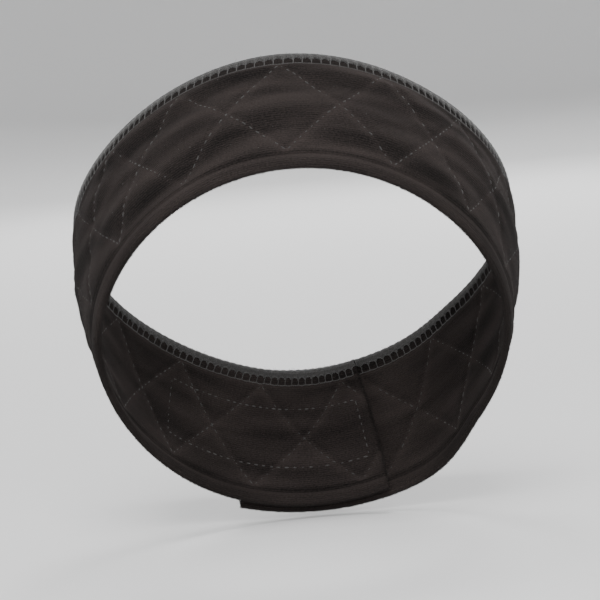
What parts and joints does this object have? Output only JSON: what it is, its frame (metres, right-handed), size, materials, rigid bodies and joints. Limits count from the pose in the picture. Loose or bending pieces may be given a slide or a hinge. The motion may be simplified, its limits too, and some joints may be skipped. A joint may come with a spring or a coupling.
{
  "type": "wig grip band",
  "caption": "Quilted black velvet band with an overlocked edge that goes round the head under a wig and closes at the nape with hook and loop tape.",
  "frame": {"origin": "middle of the head opening, level with the band over the ears", "axes": "+Z to the crown, -Y to the forehead, X through both ears, with the outer end of the strip coming from the +X side"},
  "size_m": [0.1544, 0.1876, 0.1714],
  "materials": {
    "velvet": "soft black stretch velvet pile",
    "overlock_thread": "matt textured polyester thread",
    "loop_tape": "fuzzy nylon loops",
    "hook_tape": "rows of small nylon hooks"
  },
  "bodies": {
    "root": {"velvet_band": "velvet", "overlock_edging": "overlock_thread", "loop_tape": "loop_tape", "hook_tape": "hook_tape"}
  },
  "joints": []
}
